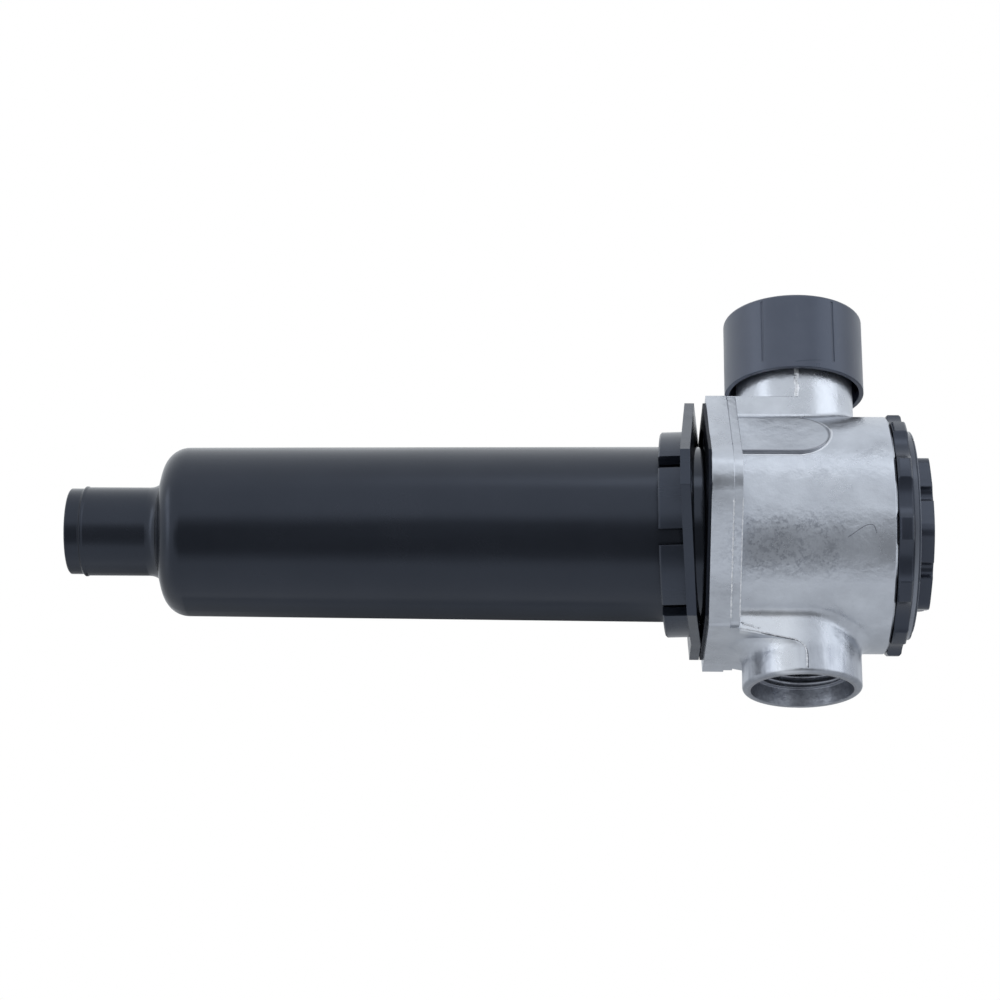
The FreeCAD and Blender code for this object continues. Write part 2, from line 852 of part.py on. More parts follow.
def make_breather_stem():
    radius = breather_bore_radius - thread_clearance
    low = port_reach - stem_thread_length
    tube_bore_top = filter_high - 1.0
    stem = turned([
        (radius - stem_wall, low),
        (radius, low),
        (radius, stem_flange_low),
        (gasket_ring_outer, stem_flange_low),
        (gasket_ring_outer, stem_flange_high),
        (stem_tube_radius, stem_flange_high),
        (stem_tube_radius, cap_inner_top),
        (0, cap_inner_top),
        (0, tube_bore_top),
        (stem_tube_bore, tube_bore_top),
        (stem_tube_bore, stem_flange_low),
        (radius - stem_wall, stem_flange_low),
    ])
    middle = (stem_flange_high + tube_bore_top) / 2
    for index in range(stem_hole_count):
        hole = Part.makeCylinder(stem_hole_radius, 2 * stem_tube_radius, Vector(0, 0, middle), Vector(1, 0, 0))
        stem = stem.cut(around(hole, 360.0 * index / stem_hole_count))
    return laid(stem)


def make_breather_cap():
    cap = turned([
        (cap_radius - cap_wall, cap_low),
        (cap_radius, cap_low),
        (cap_radius, cap_high),
        (0, cap_high),
        (0, cap_inner_top),
        (cap_radius - cap_wall, cap_inner_top),
    ])
    crown = []
    for edge in cap.Edges:
        box = edge.BoundBox
        if abs(box.ZMin - cap_high) < 0.001 and abs(box.ZMax - cap_high) < 0.001 and box.XLength > cap_radius:
            crown.append(edge)
    cap = cap.makeFillet(cap_top_round, crown)
    low = cap_low + cap_groove_low_gap
    high = cap_high - cap_groove_top_gap
    for index in range(cap_groove_count):
        groove = Part.makeBox(2, cap_groove_width, high - low,
                              Vector(cap_radius - cap_groove_depth, -cap_groove_width / 2, low))
        # after laying, local +X looks along +Z and local -Y keeps looking along -Y
        turn = -90.0 + cap_groove_offset + 360.0 * index / cap_groove_count
        cap = cap.cut(around(groove, turn))
    return laid(cap)


parts = {
    "head": make_head(),
    "screw_cover": make_cover(),
    "cover_o_ring": o_ring(seal_radius, cover_seal_wire, seal_height),
    "spring_seat": make_spring_seat(),
    "hold_down_spring": coil(
        hold_spring_radius,
        hold_spring_wire,
        cap_top,
        seat_disc_top - seat_disc_thick,
        hold_spring_turns,
    ),
    "bowl": make_bowl(),
    "bowl_o_ring": o_ring(bowl_seal_floor + seal_seat_gap + bowl_seal_wire, bowl_seal_wire, bowl_seal_height),
    "flange_gasket": make_gasket(),
    "centring_collar": make_collar(),
    "element_top_cap": make_top_cap(),
    "element_bottom_cap": make_bottom_cap(),
    "pleated_media": make_media(),
    "core_tube": make_core(),
    "element_o_ring": o_ring(
        spigot_radius - element_groove_depth + seal_seat_gap + element_seal_wire,
        element_seal_wire,
        element_bottom - element_seal_drop,
    ),
    "bypass_cage": make_cage(),
    "bypass_poppet": make_poppet(),
    "bypass_spring": coil(
        bypass_spring_radius,
        bypass_spring_wire,
        cage_bottom + cage_floor,
        poppet_low,
        bypass_spring_turns,
    ),
    "breather_stem": make_breather_stem(),
    "breather_gasket": laid(ring(gasket_ring_outer, gasket_ring_inner, port_reach, stem_flange_low)),
    "breather_filter": laid(ring(filter_outer, stem_tube_radius + 0.1, stem_flange_high, filter_high)),
    "breather_retainer": laid(
        ring(retainer_radius, stem_tube_radius + 0.02, filter_high, filter_high + retainer_thick)
    ),
    "breather_cap": make_breather_cap(),
}

for name, shape in parts.items():
    shape.exportStep("parts/" + name + ".step")
    box = shape.BoundBox
    print(name, shape.isValid(), len(shape.Solids), round(shape.Volume, 1),
          [round(v, 2) for v in (box.XMin, box.XMax, box.YMin, box.YMax, box.ZMin, box.ZMax)])
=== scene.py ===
import math

import bmesh
import bpy
from mathutils import Matrix, Vector


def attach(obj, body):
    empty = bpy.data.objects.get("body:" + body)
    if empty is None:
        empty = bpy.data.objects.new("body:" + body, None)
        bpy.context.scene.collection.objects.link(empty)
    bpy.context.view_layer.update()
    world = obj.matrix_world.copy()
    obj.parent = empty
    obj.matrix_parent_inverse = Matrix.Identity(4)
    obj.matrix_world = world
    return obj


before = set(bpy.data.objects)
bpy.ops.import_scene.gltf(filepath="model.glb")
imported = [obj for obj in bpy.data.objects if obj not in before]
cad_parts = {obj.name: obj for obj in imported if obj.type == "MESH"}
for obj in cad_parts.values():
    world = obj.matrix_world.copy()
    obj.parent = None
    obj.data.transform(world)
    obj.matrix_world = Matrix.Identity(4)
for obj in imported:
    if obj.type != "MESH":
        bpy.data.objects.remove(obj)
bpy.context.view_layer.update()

# Places on the filter, in metres
port_height = 0.0337
flange_thick = 0.0106
body_radius = 0.0425

# Directions in the photograph: towards the viewer and up. The filter's axis points right.
viewer_turn = math.radians(21.5)
toward_viewer = Vector((math.sin(viewer_turn), -math.cos(viewer_turn), 0.0))
picture_up = Vector((-math.cos(viewer_turn), -math.sin(viewer_turn), 0.0))
picture_right = Vector((0.0, 0.0, 1.0))

# The cover's lip, a pale bead that paints a highlight, in millimetres
lip_radius = 37.05
lip_height = 72.75
lip_steps = 36

# Marks on the casting: rings left by ejector pins, and dents
pad_direction = math.radians(233.7)
pad_half = 0.0114
pad_arch = 0.0312
pad_middle = (0.042 * math.cos(pad_direction), 0.042 * math.sin(pad_direction), 0.0310)
cast_marks = [(pad_middle, 0.0068, 0.0003, -1.0), (pad_middle, 0.0040, 0.0003, -0.6)]
cast_dents = [
    ((-0.0290, -0.0370, 0.0060), (1.0, 1.0, 1.0), 0.0022),
    ((-0.0265, -0.0390, 0.0085), (1.0, 1.0, 1.4), 0.0018),
    ((0.0440, -0.0200, 0.0145), (1.6, 1.0, 0.5), 0.0026),
]


# Node helpers
class Finish:
    """One node material, with short calls for the steps that the finishes share."""

    def __init__(self, name, colour, roughness, metallic=0.0):
        self.material = bpy.data.materials.new(name)
        self.material.use_nodes = True
        self.nodes = self.material.node_tree.nodes
        self.links = self.material.node_tree.links
        self.shader = self.nodes["Principled BSDF"]
        self.shader.inputs["Base Color"].default_value = (*colour, 1.0)
        self.shader.inputs["Roughness"].default_value = roughness
        self.shader.inputs["Metallic"].default_value = metallic
        if metallic == 0.0:
            self.shader.inputs["Specular Tint"].default_value = (0.70, 0.79, 1.0, 1.0)
        self.material.diffuse_color = (*colour, 1.0)
        self.place = self.nodes.new("ShaderNodeTexCoord").outputs["Object"]
        self.normal = None

    def link(self, source, target):
        self.links.new(source, target)

    def noise(self, scale, detail=4.0, rough=0.55, stretch=None):
        node = self.nodes.new("ShaderNodeTexNoise")
        node.inputs["Scale"].default_value = scale
        node.inputs["Detail"].default_value = detail
        node.inputs["Roughness"].default_value = rough
        source = self.place
        if stretch:
            mapping = self.nodes.new("ShaderNodeMapping")
            mapping.inputs["Scale"].default_value = stretch
            self.link(self.place, mapping.inputs["Vector"])
            source = mapping.outputs["Vector"]
        self.link(source, node.inputs["Vector"])
        return node.outputs["Fac"]

    def spots(self, scale, low, high):
        node = self.nodes.new("ShaderNodeTexVoronoi")
        node.inputs["Scale"].default_value = scale
        self.link(self.place, node.inputs["Vector"])
        return self.span(node.outputs["Distance"], low, high, 1.0, 0.0)

    def reach(self, centre, stretch=(1.0, 1.0, 1.0), shake=0.0, shake_scale=400.0):
        """Distance from a place, in metres, with an optional uneven outline."""
        away = self.nodes.new("ShaderNodeVectorMath")
        away.operation = "SUBTRACT"
        away.inputs[1].default_value = centre
        self.link(self.place, away.inputs[0])
        scaled = self.nodes.new("ShaderNodeVectorMath")
        scaled.operation = "MULTIPLY"
        scaled.inputs[1].default_value = stretch
        self.link(away.outputs[0], scaled.inputs[0])
        length = self.nodes.new("ShaderNodeVectorMath")
        length.operation = "LENGTH"
        self.link(scaled.outputs[0], length.inputs[0])
        found = length.outputs["Value"]
        if shake:
            found = self.math("ADD", found, self.times(self.noise(shake_scale, 2.0), shake))
        return found

    def along(self, direction):
        """The place measured along one direction, in metres."""
        node = self.nodes.new("ShaderNodeVectorMath")
        node.operation = "DOT_PRODUCT"
        node.inputs[1].default_value = direction
        self.link(self.place, node.inputs[0])
        return node.outputs["Value"]

    def band(self, value, middle, half, soft):
        """One inside a band of values, falling to nought over the soft width."""
        away = self.math("ABSOLUTE", self.math("SUBTRACT", value, middle))
        return self.span(away, half, half + soft, 1.0, 0.0)

    def wave(self, value, pitch):
        return self.math("SINE", self.times(value, 2.0 * math.pi / pitch))

    def span(self, value, low, high, out_low=0.0, out_high=1.0):
        node = self.nodes.new("ShaderNodeMapRange")
        node.inputs["From Min"].default_value = low
        node.inputs["From Max"].default_value = high
        node.inputs["To Min"].default_value = out_low
        node.inputs["To Max"].default_value = out_high
        self.link(value, node.inputs["Value"])
        return node.outputs["Result"]

    def from_axis(self):
        """Distance from the filter's axis, in metres."""
        return self.reach((0.0, 0.0, 0.0), (1.0, 1.0, 0.0))

    def from_port_axis(self):
        """Distance from the axis of the threaded port, in metres."""
        return self.reach((0.0, 0.0, port_height), (0.0, 1.0, 1.0))

    def times(self, first, second):
        return self.math("MULTIPLY", first, second)

    def math(self, kind, first, second=None):
        node = self.nodes.new("ShaderNodeMath")
        node.operation = kind
        for slot, value in ((0, first), (1, second)):
            if value is None:
                continue
            if isinstance(value, (int, float)):
                node.inputs[slot].default_value = value
            else:
                self.link(value, node.inputs[slot])
        return node.outputs[0]

    def blend(self, share, first, second):
        node = self.nodes.new("ShaderNodeMix")
        node.data_type = "RGBA"
        for slot, value in (("A", first), ("B", second)):
            socket = [s for s in node.inputs if s.name == slot and s.type == "RGBA"][0]
            if isinstance(value, tuple):
                socket.default_value = (*value, 1.0)
            else:
                self.link(value, socket)
        if isinstance(share, (int, float)):
            node.inputs["Factor"].default_value = share
        else:
            self.link(share, node.inputs["Factor"])
        return [s for s in node.outputs if s.type == "RGBA"][0]

    def bump(self, height, distance, strength=1.0):
        node = self.nodes.new("ShaderNodeBump")
        node.inputs["Distance"].default_value = distance
        node.inputs["Strength"].default_value = strength
        self.link(height, node.inputs["Height"])
        if self.normal is not None:
            self.link(self.normal, node.inputs["Normal"])
        self.normal = node.outputs["Normal"]

    def soften_edges(self, radius):
        node = self.nodes.new("ShaderNodeBevel")
        node.samples = 6
        node.inputs["Radius"].default_value = radius
        self.normal = node.outputs["Normal"]

    def close(self, colour=None, roughness=None):
        if colour is not None:
            self.link(colour, self.shader.inputs["Base Color"])
        if roughness is not None:
            self.link(roughness, self.shader.inputs["Roughness"])
        if self.normal is not None:
            self.link(self.normal, self.shader.inputs["Normal"])
        return self.material


# Finishes
def cast_aluminium():
    finish = Finish("cast_aluminium", (0.50, 0.51, 0.535), 0.40, 0.88)
    finish.soften_edges(0.0004)
    cloud = finish.noise(55.0, 5.0, 0.6)
    drift = finish.noise(150.0, 5.0, 0.6)
    speckle = finish.noise(620.0, 4.0, 0.7)
    grain = finish.noise(1600.0, 2.0)
    pits = finish.spots(420.0, 0.05, 0.16)
    stain = finish.span(finish.noise(75.0, 6.0, 0.68), 0.50, 0.70)
    colour = finish.blend(finish.span(cloud, 0.3, 0.7), (0.42, 0.445, 0.495), (0.60, 0.635, 0.70))
    colour = finish.blend(finish.times(stain, 0.5), colour, (0.30, 0.325, 0.38))
    pale = finish.times(finish.span(drift, 0.48, 0.72), 0.4)
    colour = finish.blend(pale, colour, (0.70, 0.735, 0.80))
    height = finish.along((0.0, 0.0, 1.0))
    # a paler strip along the side of the body, with dark speckles in it
    upward = finish.along(picture_up)
    near_side = finish.span(finish.along(toward_viewer), 0.02, 0.03)
    belt = finish.times(finish.band(upward, -0.0030, 0.0070, 0.006), near_side)
    belt = finish.times(belt, finish.band(height, 0.027, 0.013, 0.014))
    strip = finish.band(upward, -0.004, 0.008, 0.008)
    colour = finish.blend(finish.times(strip, 0.75), colour, (0.68, 0.72, 0.80))
    clump = finish.times(finish.span(speckle, 0.47, 0.57),
                         finish.span(drift, 0.38, 0.58, 0.25, 1.0))
    dots = finish.times(clump, belt)
    colour = finish.blend(finish.times(dots, 0.50), colour, (0.19, 0.21, 0.27))
    # painted highlight: the casting is painted paler towards the top of the picture
    colour = finish.blend(finish.span(upward, 0.036, 0.046, 0.0, 0.30), colour, (0.74, 0.77, 0.82))
    # the boss and the rim of the port are greyer, with streaks along the port
    outward = finish.along((1.0, 0.0, 0.0))
    boss = finish.times(finish.span(finish.from_port_axis(), 0.0235, 0.0250, 1.0, 0.0),
                        finish.span(outward, 0.0470, 0.0500))
    streak = finish.span(finish.noise(330.0, 4.0, 0.6, (0.15, 1.0, 1.0)), 0.36, 0.66, 0.15, 0.75)
    colour = finish.blend(finish.times(boss, streak), colour, (0.30, 0.32, 0.37))
    colour = finish.blend(finish.span(outward, 0.0568, 0.0580, 0.0, 0.45), colour, (0.22, 0.235, 0.27))
    # the wall of the port, painted darker and mottled: painted shade inside the bore
    port_wall_shade = finish.times(finish.band(finish.from_port_axis(), 0.0165, 0.0023, 0.0006),
                        finish.span(outward, 0.030, 0.050))
    mottle = finish.span(speckle, 0.35, 0.65, 0.20, 0.75)
    colour = finish.blend(finish.times(port_wall_shade, mottle), colour, (0.22, 0.23, 0.265))
    # the web beside the port is painted paler, most near the flange and fading towards the port: a painted
    # highlight on its face
    web_highlight = finish.times(finish.span(outward, 0.0355, 0.0380),
                       finish.span(finish.along((0.0, -1.0, 0.0)), 0.0170, 0.0190))
    web_highlight = finish.times(web_highlight, finish.span(height, flange_thick, flange_thick + 0.0006))
    web_highlight = finish.times(web_highlight, finish.span(height, 0.027, 0.036, 0.62, 0.0))
    colour = finish.blend(web_highlight, colour, (0.86, 0.89, 0.94))
    # the outline of the flat pad is a shallow groove, darkened with painted shade, with a painted highlight
    # along its outer edge
    aside = finish.along((-math.sin(pad_direction), math.cos(pad_direction), 0.0))
    above = finish.math("MAXIMUM", finish.math("SUBTRACT", height, pad_arch), 0.0)
    away = finish.math("SQRT", finish.math("ADD", finish.times(aside, aside),
                                           finish.times(above, above)))
    outward_pad = finish.along((math.cos(pad_direction), math.sin(pad_direction), 0.0))
    on_side = finish.span(outward_pad, 0.036, 0.037)
    shaded_groove = finish.times(finish.band(away, pad_half - 0.0001, 0.00018, 0.00035), on_side)
    shaded_groove = finish.times(shaded_groove, finish.span(height, flange_thick, flange_thick + 0.0004))
    colour = finish.blend(finish.times(shaded_groove, 0.55), colour, (0.16, 0.17, 0.20))
    # painted highlight: a paler line just outside the groove, over a small raised bump
    ridge = finish.times(finish.band(away, pad_half + 0.0008, 0.00015, 0.0004), on_side)
    ridge = finish.times(ridge, finish.span(height, flange_thick, flange_thick + 0.0004))
    colour = finish.blend(finish.times(ridge, 0.45), colour, (0.88, 0.90, 0.94))
    finish.bump(shaded_groove, 0.0003, -0.8)
    finish.bump(ridge, 0.0003, 0.6)
    finish.bump(cloud, 0.0006, 0.6)
    finish.bump(drift, 0.0004, 0.6)
    finish.bump(speckle, 0.00006, 0.4)
    finish.bump(grain, 0.00003, 0.4)
    finish.bump(pits, 0.00005, 0.2)
    for centre, radius, width, depth in cast_marks:
        finish.bump(finish.band(finish.reach(centre), radius, 0.5 * width, width), 0.0002, depth)
    for centre, stretch, size in cast_dents:
        dent = finish.span(finish.reach(centre, stretch, 0.0012), size, size + 0.0006, 1.0, 0.0)
        finish.bump(dent, 0.0002, -0.6)
    # the thread in the mouth, under the cover
    bore = finish.span(finish.from_axis(), 0.0385, 0.0390, 1.0, 0.0)
    upper = finish.band(height, 0.0585, 0.0050, 0.0004)
    thread = finish.times(finish.wave(height, 0.003), finish.times(bore, upper))
    finish.bump(thread, 0.0006, 1.0)
    return finish.close(colour, finish.span(cloud, 0.3, 0.7, 0.24, 0.36))


# Pale metal for the mould's flash, which on the flange's top edge paints a highlight
def flash_and_highlight_aluminium():
    finish = Finish("flash_and_highlight_aluminium", (0.78, 0.80, 0.84), 0.30, 0.9)
    grain = finish.noise(900.0, 3.0)
    colour = finish.blend(finish.span(grain, 0.35, 0.7), (0.62, 0.64, 0.68), (0.93, 0.94, 0.97))
    finish.bump(grain, 0.00008, 0.5)
    return finish.close(colour, finish.span(grain, 0.3, 0.7, 0.38, 0.55))


# Dark grey for a real scratch on the body, and for the painted shadow line beside the port's flash
def scratch_and_shadow_grey():
    finish = Finish("scratch_and_shadow_grey", (0.16, 0.17, 0.20), 0.5, 0.6)
    shade = finish.noise(900.0, 2.0)
    return finish.close(finish.blend(shade, (0.10, 0.11, 0.14), (0.24, 0.25, 0.29)))


def satin_black(name="satin_black_plastic", colour=(0.011, 0.0135, 0.020), roughness=0.36, shine=0.5,
                thread=None, edge=0.0004, step_highlight=False):
    """Moulded black plastic, with an optional thread shown as a bump and an optional painted highlight on
    the side of the cover's upper step.
    """
    finish = Finish(name, colour, roughness)
    finish.soften_edges(edge)
    finish.shader.inputs["Specular IOR Level"].default_value = shine
    cloud = finish.noise(40.0, 4.0)
    flow = finish.noise(30.0, 3.0, 0.5, (6.0, 6.0, 0.5))
    grain = finish.noise(2500.0, 2.0)
    lighter = tuple(min(1.0, c * 1.35 + 0.002) for c in colour)
    base = finish.blend(finish.span(cloud, 0.35, 0.7), colour, lighter)
    rough = finish.span(flow, 0.3, 0.7, roughness - 0.05, roughness + 0.07)
    finish.bump(flow, 0.0001, 0.25)
    finish.bump(grain, 0.00002, 0.4)
    if step_highlight:
        # painted highlight: the side of the cover's upper step is painted paler, more so on the side away
        # from the breather
        rise = finish.along((0.0, 0.0, 1.0))
        step_glint = finish.times(finish.band(rise, 0.0716, 0.0005, 0.0004),
                            finish.span(finish.from_axis(), 0.0362, 0.0368))
        upward = finish.along(picture_up)
        step_glint = finish.times(step_glint, finish.span(upward, -0.022, 0.010, 0.95, 0.25))
        base = finish.blend(step_glint, base, (0.34, 0.37, 0.43))
    if thread:
        direction, centre, stretch, largest, middle, half, pitch = thread
        place = finish.along(direction)
        inside = finish.span(finish.reach(centre, stretch), largest, largest + 0.0003, 1.0, 0.0)
        ridge = finish.times(finish.wave(place, pitch), finish.band(place, middle, half, 0.0004))
        finish.bump(finish.times(ridge, inside), 0.0006, 1.0)
    return finish.close(base, rough)


def bowl_plastic():
    """The bowl's black plastic, glossier on the part above the collar."""
    material = satin_black("bowl_plastic", (0.0080, 0.0097, 0.0140), 0.20, 0.62)
    nodes = material.node_tree.nodes
    shader = nodes["Principled BSDF"]
    link = shader.inputs["Roughness"].links[0]
    source = link.from_socket
    place = nodes.new("ShaderNodeTexCoord").outputs["Object"]
    split = nodes.new("ShaderNodeSeparateXYZ")
    material.node_tree.links.new(place, split.inputs["Vector"])
    gloss = nodes.new("ShaderNodeMapRange")
    gloss.inputs["From Min"].default_value = -0.013
    gloss.inputs["From Max"].default_value = -0.011
    material.node_tree.links.new(split.outputs["Z"], gloss.inputs["Value"])
    mix = nodes.new("ShaderNodeMix")
    mix.inputs["B"].default_value = 0.06
    material.node_tree.links.new(gloss.outputs["Result"], mix.inputs["Factor"])
    material.node_tree.links.new(source, mix.inputs["A"])
    material.node_tree.links.new(mix.outputs["Result"], shader.inputs["Roughness"])
    return material


def slate_plastic():
    finish = Finish("slate_cap_plastic", (0.060, 0.070, 0.095), 0.34)
    finish.soften_edges(0.0005)
    finish.shader.inputs["Specular IOR Level"].default_value = 0.75
    cloud = finish.noise(45.0, 4.0)
    scuff = finish.span(finish.noise(130.0, 5.0, 0.6, (1.0, 4.0, 4.0)), 0.6, 0.8)
    grain = finish.noise(2200.0, 2.0)
    lower = finish.span(finish.along((0.0, 0.0, 1.0)), 0.012, 0.054, 1.0, 0.0)
    pale = finish.blend(lower, (0.060, 0.070, 0.098), (0.112, 0.127, 0.166))
    deep = finish.blend(lower, (0.040, 0.049, 0.072), (0.090, 0.103, 0.136))
    base = finish.blend(finish.span(cloud, 0.3, 0.7), deep, pale)
    base = finish.blend(finish.times(scuff, 0.12), base, (0.2, 0.21, 0.22))
    # one thin scratch near the rim, on the viewer's side
    line = finish.band(finish.along((1.0, 0.0, 0.12)), -0.05306, 0.00008, 0.0002)
    line = finish.times(line, finish.band(finish.along((0.0, 0.0, 1.0)), 0.0373, 0.0042, 0.001))
    line = finish.times(line, finish.span(finish.along((0.0, -1.0, 0.0)), 0.014, 0.016))
    base = finish.blend(finish.times(line, 0.6), base, (0.02, 0.024, 0.035))
    rough = finish.span(cloud, 0.3, 0.7, 0.27, 0.38)
    finish.bump(grain, 0.00002, 0.5)
    return finish.close(base, rough)


def soft_rubber():
    finish = Finish("seal_rubber", (0.012, 0.012, 0.013), 0.55)
    grain = finish.noise(1800.0, 3.0)
    cloud = finish.noise(90.0, 3.0)
    base = finish.blend(finish.span(cloud, 0.3, 0.7), (0.010, 0.010, 0.011), (0.022, 0.022, 0.024))
    finish.bump(grain, 0.00003, 0.5)
    return finish.close(base, finish.span(cloud, 0.3, 0.7, 0.48, 0.62))


def natural_plastic():
    finish = Finish("natural_plastic", (0.66, 0.64, 0.58), 0.45)
    finish.soften_edges(0.0004)
    cloud = finish.noise(60.0, 3.0)
    grain = finish.noise(2200.0, 2.0)
    base = finish.blend(finish.span(cloud, 0.3, 0.7), (0.62, 0.60, 0.54), (0.71, 0.69, 0.63))
    finish.bump(grain, 0.00002, 0.5)
    return finish.close(base, finish.span(cloud, 0.3, 0.7, 0.4, 0.52))


def filter_paper():
    finish = Finish("filter_paper", (0.78, 0.70, 0.50), 0.9)
    fibre = finish.noise(900.0, 4.0, 0.7, (1.0, 1.0, 0.3))
    cloud = finish.noise(70.0, 3.0)
    base = finish.blend(finish.span(cloud, 0.3, 0.7), (0.72, 0.63, 0.42), (0.84, 0.77, 0.58))
    finish.bump(fibre, 0.00006, 0.6)
    return finish.close(base, finish.span(fibre, 0.3, 0.7, 0.82, 0.95))


def filter_foam():
    finish = Finish("filter_foam", (0.10, 0.105, 0.11), 0.95)
    cells = finish.spots(900.0, 0.1, 0.5)
    base = finish.blend(cells, (0.16, 0.165, 0.17), (0.04, 0.042, 0.045))
    finish.bump(cells, 0.0005, 0.8)
    return finish.close(base, finish.span(cells, 0.0, 1.0, 0.85, 1.0))


def zinc_steel():
    finish = Finish("zinc_steel", (0.62, 0.63, 0.64), 0.32, 1.0)
    spangle = finish.noise(260.0, 2.0)
    base = finish.blend(finish.span(spangle, 0.35, 0.65), (0.52, 0.53, 0.55), (0.72, 0.73, 0.74))
    finish.bump(spangle, 0.00004, 0.4)
    return finish.close(base, finish.span(spangle, 0.3, 0.7, 0.26, 0.42))


def spring_wire():
    finish = Finish("spring_wire", (0.40, 0.40, 0.41), 0.3, 1.0)
    drawn = finish.noise(700.0, 2.0)
    base = finish.blend(finish.span(drawn, 0.3, 0.7), (0.33, 0.33, 0.34), (0.48, 0.48, 0.49))
    return finish.close(base, finish.span(drawn, 0.3, 0.7, 0.24, 0.38))


def dark_rubber():
    finish = Finish("gasket_rubber", (0.006, 0.008, 0.012), 0.5)
    finish.shader.inputs["Specular IOR Level"].default_value = 0.3
    grain = finish.noise(1500.0, 3.0)
    base = finish.blend(finish.span(grain, 0.3, 0.7), (0.004, 0.005, 0.009), (0.008, 0.010, 0.015))
    finish.bump(grain, 0.00003, 0.4)
    return finish.close(base, finish.span(grain, 0.3, 0.7, 0.46, 0.58))


# Threads shown as a bump: direction, centre, stretch, largest radius, middle, half length and pitch
skirt_thread = ((0.0, 0.0, 1.0), (0.0, 0.0, 0.0), (1.0, 1.0, 0.0), 0.0385, 0.0585, 0.0055, 0.003)
stem_thread = (
    (1.0, 0.0, 0.0), (0.0, 0.0, port_height), (0.0, 1.0, 1.0), 0.0140, -0.0500, 0.0075, 0.0023,
)
black = satin_black(thread=stem_thread)
finishes = {
    "head": cast_aluminium(),
    "screw_cover": satin_black("cover_plastic", (0.020, 0.0238, 0.0345), 0.22, 0.7, skirt_thread,
                               edge=0.0008, step_highlight=True),
    "bowl": bowl_plastic(),
    "centring_collar": satin_black("collar_plastic", (0.0195, 0.0240, 0.0345), 0.22, 0.7),
    "breather_stem": black,
    "breather_retainer": black,
    "breather_cap": slate_plastic(),
    "breather_filter": filter_foam(),
    "flange_gasket": dark_rubber(),
    "pleated_media": filter_paper(),
    "core_tube": zinc_steel(),
}
rubber = soft_rubber()
for node in ("cover_o_ring", "bowl_o_ring", "element_o_ring", "breather_gasket"):
    finishes[node] = rubber
natural = natural_plastic()
for node in ("element_top_cap", "element_bottom_cap", "bypass_cage", "bypass_poppet", "spring_seat"):
    finishes[node] = natural
wire = spring_wire()
for node in ("hold_down_spring", "bypass_spring"):
    finishes[node] = wire

for node, material in finishes.items():
    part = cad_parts[node]
    for slot in part.material_slots:
        slot.material = material


# Detail pieces
def new_object(name, build, material):
    """An object at the origin with the built mesh and one material."""
    mesh = bpy.data.meshes.new(name)
    build.to_mesh(mesh)
    build.free()
    mesh.materials.append(material)
    made = bpy.data.objects.new(name, mesh)
    bpy.context.scene.collection.objects.link(made)
    return made


def add_piece(name, build, material, body):
    piece = new_object(name, build, material)
    for face in piece.data.polygons:
        face.use_smooth = True
    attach(piece, body)
    return piece


def join_rings(build, rings):
    """Skins a row of vertex loops, and caps both ends."""
    for first, second in zip(rings, rings[1:]):
        count = len(first)
        for index in range(count):
            after = (index + 1) % count
            build.faces.new((first[index], first[after], second[after], second[index]))
    build.faces.new(list(reversed(rings[0])))
    build.faces.new(rings[-1])
    bmesh.ops.recalc_face_normals(build, faces=build.faces)


def smooth_path(points, steps):
    """Points along a soft curve through the given ones."""
    places = [Vector(point) for point in points]
    places = [places[0]] + places + [places[-1]]
    found = []
    for a, b, c, d in zip(places, places[1:], places[2:], places[3:]):
        for step in range(steps):
            t = step / steps
            found.append(0.5 * (2 * b + (c - a) * t + (2 * a - 5 * b + 4 * c - d) * t ** 2
                                + (3 * b - a - 3 * c + d) * t ** 3))
    found.append(places[-2])
    return found


def bead(name, points, radius, wobble, material, body, seed=0.0, steps=14, sides=6):
    """A thin uneven ridge along a path, such as the thin fin that a mould leaves, or a pale or dark bead
    that paints a highlight or a shadow.
    """
    path = smooth_path([[c / 1000.0 for c in point] for point in points], steps)
    build = bmesh.new()
    rings = []
    last = len(path) - 1
    for index, place in enumerate(path):
        ahead = path[min(last, index + 1)] - path[max(0, index - 1)]
        ahead.normalize()
        side = ahead.orthogonal().normalized()
        other = ahead.cross(side)
        wave = math.sin(index * 1.7 + seed) * math.sin(index * 0.61 + 2.3 * seed)
        wave += 0.6 * math.sin(index * 3.1 + 1.3 * seed)
        ends = min(1.0, 0.25 + 0.35 * min(index, last - index))
        size = radius / 1000.0 * max(0.25, 1.0 + wobble * wave) * ends
        loop = []
        for corner in range(sides):
            turn = 2 * math.pi * corner / sides
            loop.append(build.verts.new(place + (side * math.cos(turn) + other * math.sin(turn)) * size))
        rings.append(loop)
    join_rings(build, rings)
    return add_piece(name, build, material, body)


def helix_ridge(name, base, rise, pitch, start, end, half, place, material, body, sides=48):
    """A thread ridge wound along +X about a line at the given height, from a bore or a stem."""
    build = bmesh.new()
    rings = []
    turns = (end - start) / pitch
    count = int(turns * sides)
    for index in range(count + 1):
        share = index / count
        turn = 2 * math.pi * turns * share
        along = start + (end - start) * share
        tip = base + rise * min(1.0, 12.0 * share, 12.0 * (1.0 - share))
        loop = []
        for radius, shift in ((base, -half), (tip, -0.25 * half), (tip, 0.25 * half), (base, half)):
            loop.append(build.verts.new((
                (along + shift) / 1000.0,
                radius * math.cos(turn) / 1000.0,
                (place + radius * math.sin(turn)) / 1000.0,
            )))
        rings.append(loop)
    join_rings(build, rings)
    return add_piece(name, build, material, body)


def flank_line(lug, corner, height):
    """Points along an edge of the flange's flank, from the round lug to the corner by the port."""
    shares = (0.06, 0.28, 0.50, 0.72, 0.95)
    return [
        (lug[0] + share * (corner[0] - lug[0]), lug[1] + share * (corner[1] - lug[1]), height)
        for share in shares
    ]


def body_point(rise, height):
    """A point on the side of the body, as far above the middle of the photograph's view as given."""
    radius = 1000.0 * body_radius
    turn = viewer_turn - math.pi / 2 - math.asin(rise / radius)
    return (radius * math.cos(turn), radius * math.sin(turn), height)


